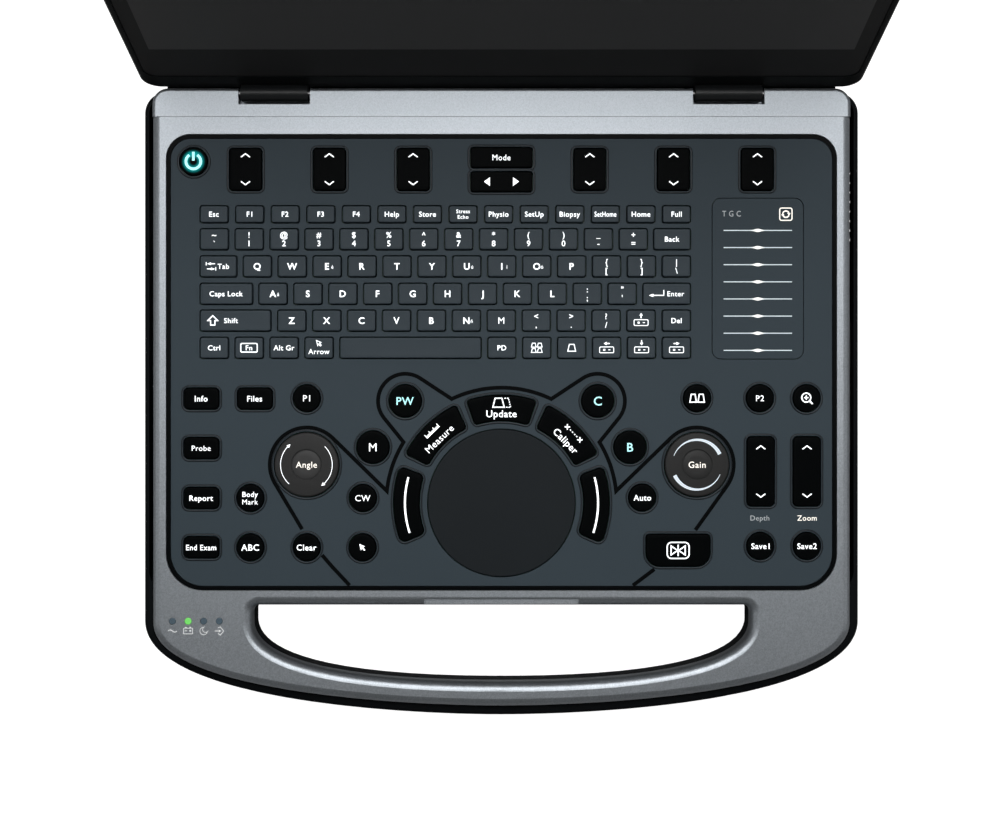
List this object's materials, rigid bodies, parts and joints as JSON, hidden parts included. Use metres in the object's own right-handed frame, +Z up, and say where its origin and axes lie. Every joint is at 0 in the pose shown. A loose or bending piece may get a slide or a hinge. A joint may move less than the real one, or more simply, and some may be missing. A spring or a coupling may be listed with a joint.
{
  "type": "ultrasound scanner",
  "caption": "Laptop-form veterinary ultrasound scanner: flat base with a carrying handle, full control panel and keyboard, and a folding display lid.",
  "frame": {"origin": "on the table under the middle of the whole object with its lid open", "axes": "+Z up, +Y towards the lid and hinges, -Y towards the carrying handle, +X to the user's right"},
  "size_m": [0.3688, 0.4004, 0.2955],
  "materials": {
    "silver_paint": "fine metallic paint, satin",
    "dark_shell": "fine spark-eroded grain",
    "lid_shell": "fine grain, satin",
    "lid_black": "smooth, semi-gloss",
    "panel_slate": "soft-touch, matte",
    "key_slate": "soft-touch, matte",
    "key_black": "satin",
    "dial_grey": "matte",
    "pad_slate": "very fine texture",
    "trim_black": "satin",
    "display_glass": "anti-glare, near black",
    "display_module": "matte",
    "hinge_dark": "satin",
    "steel": "zinc plated",
    "circuit_board": "solder mask",
    "aluminium_fins": "extruded",
    "fan_black": "moulded",
    "battery_case": "wrapped cells",
    "connector_black": "moulded",
    "foot_rubber": "matte",
    "lens": "clear tinted"
  },
  "bodies": {
    "base": {"bottom_cover": "dark_shell", "battery_door": "dark_shell", "top_cover": "silver_paint", "rear_cover": "silver_paint", "control_panel": "panel_slate", "panel_trim": "trim_black", "touchpad": "pad_slate", "tgc_strip": "panel_slate", "key_board": "circuit_board", "battery": "battery_case", "main_board": "circuit_board", "beamformer_board": "circuit_board", "heat_sink": "aluminium_fins", "fan_housing": "fan_black", "data_drive": "connector_black", "speakers": "fan_black", "probe_socket": "connector_black", "power_inlet": "connector_black", "io_ports": "connector_black", "feet": "foot_rubber", "shell_screws": "steel", "led_lenses": "lens", "hinge_brackets": "steel"},
    "lid": {"lid_back_cover": "lid_shell", "lid_front_frame": "lid_black", "display_glass": "display_glass", "lcd_panel": "display_module", "hinge_barrels": "hinge_dark"},
    "function_keys": {"function_keys": "key_slate"},
    "number_keys": {"number_keys": "key_slate"},
    "top_letter_keys": {"top_letter_keys": "key_slate"},
    "home_letter_keys": {"home_letter_keys": "key_slate"},
    "low_letter_keys": {"low_letter_keys": "key_slate"},
    "bottom_row_keys": {"bottom_row_keys": "key_slate"},
    "space_bar": {"space_bar": "key_slate"},
    "power_button": {"power_button": "key_black"},
    "mode_key": {"mode_key": "key_black"},
    "update_key": {"update_key": "key_black"},
    "measure_key": {"measure_key": "key_black"},
    "caliper_key": {"caliper_key": "key_black"},
    "left_set_key": {"left_set_key": "key_black"},
    "right_set_key": {"right_set_key": "key_black"},
    "freeze_key": {"freeze_key": "key_black"},
    "scan_mode_keys": {"scan_mode_keys": "key_black"},
    "pill_keys": {"pill_keys": "key_black"},
    "left_round_keys": {"left_round_keys": "key_black"},
    "right_round_keys": {"right_round_keys": "key_black"},
    "soft_rocker_1": {"soft_rocker_1": "key_black"},
    "soft_rocker_2": {"soft_rocker_2": "key_black"},
    "soft_rocker_3": {"soft_rocker_3": "key_black"},
    "soft_rocker_4": {"soft_rocker_4": "key_black"},
    "soft_rocker_5": {"soft_rocker_5": "key_black"},
    "soft_rocker_6": {"soft_rocker_6": "key_black"},
    "mode_rocker": {"mode_rocker": "key_black"},
    "depth_rocker": {"depth_rocker": "key_black"},
    "zoom_rocker": {"zoom_rocker": "key_black"},
    "angle_dial": {"angle_dial": "dial_grey"},
    "gain_dial": {"gain_dial": "dial_grey"},
    "fan_rotor": {"fan_rotor": "fan_black"},
    "probe_lock": {"probe_lock": "key_black"}
  },
  "joints": [
    {"name": "lid_hinge", "type": "hinge", "parent": "base", "child": "lid", "pos_m": [0, 0.11917, 0.0436], "axis": [1, 0, 0], "range_deg": [-25.5, 104.5]},
    {"name": "function_keys_press", "type": "slide", "parent": "base", "child": "function_keys", "axis": [0, 0, -1], "range_m": [0, 0.001], "stiffness_N_per_m": 600, "springref_m": -0.0005},
    {"name": "number_keys_press", "type": "slide", "parent": "base", "child": "number_keys", "axis": [0, 0, -1], "range_m": [0, 0.001], "stiffness_N_per_m": 600, "springref_m": -0.0005},
    {"name": "top_letter_keys_press", "type": "slide", "parent": "base", "child": "top_letter_keys", "axis": [0, 0, -1], "range_m": [0, 0.001], "stiffness_N_per_m": 600, "springref_m": -0.0005},
    {"name": "home_letter_keys_press", "type": "slide", "parent": "base", "child": "home_letter_keys", "axis": [0, 0, -1], "range_m": [0, 0.001], "stiffness_N_per_m": 600, "springref_m": -0.0005},
    {"name": "low_letter_keys_press", "type": "slide", "parent": "base", "child": "low_letter_keys", "axis": [0, 0, -1], "range_m": [0, 0.001], "stiffness_N_per_m": 600, "springref_m": -0.0005},
    {"name": "bottom_row_keys_press", "type": "slide", "parent": "base", "child": "bottom_row_keys", "axis": [0, 0, -1], "range_m": [0, 0.001], "stiffness_N_per_m": 600, "springref_m": -0.0005},
    {"name": "space_bar_press", "type": "slide", "parent": "base", "child": "space_bar", "axis": [0, 0, -1], "range_m": [0, 0.001], "stiffness_N_per_m": 600, "springref_m": -0.0005},
    {"name": "power_button_press", "type": "slide", "parent": "base", "child": "power_button", "axis": [0, 0, -1], "range_m": [0, 0.001], "stiffness_N_per_m": 600, "springref_m": -0.0005},
    {"name": "mode_key_press", "type": "slide", "parent": "base", "child": "mode_key", "axis": [0, 0, -1], "range_m": [0, 0.001], "stiffness_N_per_m": 600, "springref_m": -0.0005},
    {"name": "update_key_press", "type": "slide", "parent": "base", "child": "update_key", "axis": [0, 0, -1], "range_m": [0, 0.001], "stiffness_N_per_m": 600, "springref_m": -0.0005},
    {"name": "measure_key_press", "type": "slide", "parent": "base", "child": "measure_key", "axis": [0, 0, -1], "range_m": [0, 0.001], "stiffness_N_per_m": 600, "springref_m": -0.0005},
    {"name": "caliper_key_press", "type": "slide", "parent": "base", "child": "caliper_key", "axis": [0, 0, -1], "range_m": [0, 0.001], "stiffness_N_per_m": 600, "springref_m": -0.0005},
    {"name": "left_set_key_press", "type": "slide", "parent": "base", "child": "left_set_key", "axis": [0, 0, -1], "range_m": [0, 0.001], "stiffness_N_per_m": 600, "springref_m": -0.0005},
    {"name": "right_set_key_press", "type": "slide", "parent": "base", "child": "right_set_key", "axis": [0, 0, -1], "range_m": [0, 0.001], "stiffness_N_per_m": 600, "springref_m": -0.0005},
    {"name": "freeze_key_press", "type": "slide", "parent": "base", "child": "freeze_key", "axis": [0, 0, -1], "range_m": [0, 0.001], "stiffness_N_per_m": 600, "springref_m": -0.0005},
    {"name": "scan_mode_keys_press", "type": "slide", "parent": "base", "child": "scan_mode_keys", "axis": [0, 0, -1], "range_m": [0, 0.001], "stiffness_N_per_m": 600, "springref_m": -0.0005},
    {"name": "pill_keys_press", "type": "slide", "parent": "base", "child": "pill_keys", "axis": [0, 0, -1], "range_m": [0, 0.001], "stiffness_N_per_m": 600, "springref_m": -0.0005},
    {"name": "left_round_keys_press", "type": "slide", "parent": "base", "child": "left_round_keys", "axis": [0, 0, -1], "range_m": [0, 0.001], "stiffness_N_per_m": 600, "springref_m": -0.0005},
    {"name": "right_round_keys_press", "type": "slide", "parent": "base", "child": "right_round_keys", "axis": [0, 0, -1], "range_m": [0, 0.001], "stiffness_N_per_m": 600, "springref_m": -0.0005},
    {"name": "soft_rocker_1_tip", "type": "hinge", "parent": "base", "child": "soft_rocker_1", "pos_m": [-0.1307, 0.08017, 0.0435], "axis": [1, 0, 0], "range_deg": [-3, 3], "stiffness_Nm_per_rad": 0.3},
    {"name": "soft_rocker_2_tip", "type": "hinge", "parent": "base", "child": "soft_rocker_2", "pos_m": [-0.0879, 0.08017, 0.0435], "axis": [1, 0, 0], "range_deg": [-3, 3], "stiffness_Nm_per_rad": 0.3},
    {"name": "soft_rocker_3_tip", "type": "hinge", "parent": "base", "child": "soft_rocker_3", "pos_m": [-0.0451, 0.08017, 0.0435], "axis": [1, 0, 0], "range_deg": [-3, 3], "stiffness_Nm_per_rad": 0.3},
    {"name": "soft_rocker_4_tip", "type": "hinge", "parent": "base", "child": "soft_rocker_4", "pos_m": [0.0451, 0.08017, 0.0435], "axis": [1, 0, 0], "range_deg": [-3, 3], "stiffness_Nm_per_rad": 0.3},
    {"name": "soft_rocker_5_tip", "type": "hinge", "parent": "base", "child": "soft_rocker_5", "pos_m": [0.0879, 0.08017, 0.0435], "axis": [1, 0, 0], "range_deg": [-3, 3], "stiffness_Nm_per_rad": 0.3},
    {"name": "soft_rocker_6_tip", "type": "hinge", "parent": "base", "child": "soft_rocker_6", "pos_m": [0.1307, 0.08017, 0.0435], "axis": [1, 0, 0], "range_deg": [-3, 3], "stiffness_Nm_per_rad": 0.3},
    {"name": "mode_rocker_tip", "type": "hinge", "parent": "base", "child": "mode_rocker", "pos_m": [0, 0.07387, 0.0435], "axis": [0, 1, 0], "range_deg": [-2.5, 2.5], "stiffness_Nm_per_rad": 0.3},
    {"name": "depth_rocker_tip", "type": "hinge", "parent": "base", "child": "depth_rocker", "pos_m": [0.1324, -0.07413, 0.0435], "axis": [1, 0, 0], "range_deg": [-2.5, 2.5], "stiffness_Nm_per_rad": 0.3},
    {"name": "zoom_rocker_tip", "type": "hinge", "parent": "base", "child": "zoom_rocker", "pos_m": [0.156, -0.07413, 0.0435], "axis": [1, 0, 0], "range_deg": [-2.5, 2.5], "stiffness_Nm_per_rad": 0.3},
    {"name": "angle_dial_turn", "type": "hinge", "parent": "base", "child": "angle_dial", "pos_m": [-0.0995, -0.07063, 0.0445], "axis": [0, 0, 1], "continuous": true},
    {"name": "gain_dial_turn", "type": "hinge", "parent": "base", "child": "gain_dial", "pos_m": [0.0998, -0.07063, 0.0445], "axis": [0, 0, 1], "continuous": true},
    {"name": "fan_spin", "type": "hinge", "parent": "base", "child": "fan_rotor", "pos_m": [0.132, 0.07767, 0.0185], "axis": [0, 0, 1], "continuous": true},
    {"name": "probe_lock_slide", "type": "slide", "parent": "base", "child": "probe_lock", "axis": [0, -1, 0], "range_m": [0, 0.0045]}
  ]
}
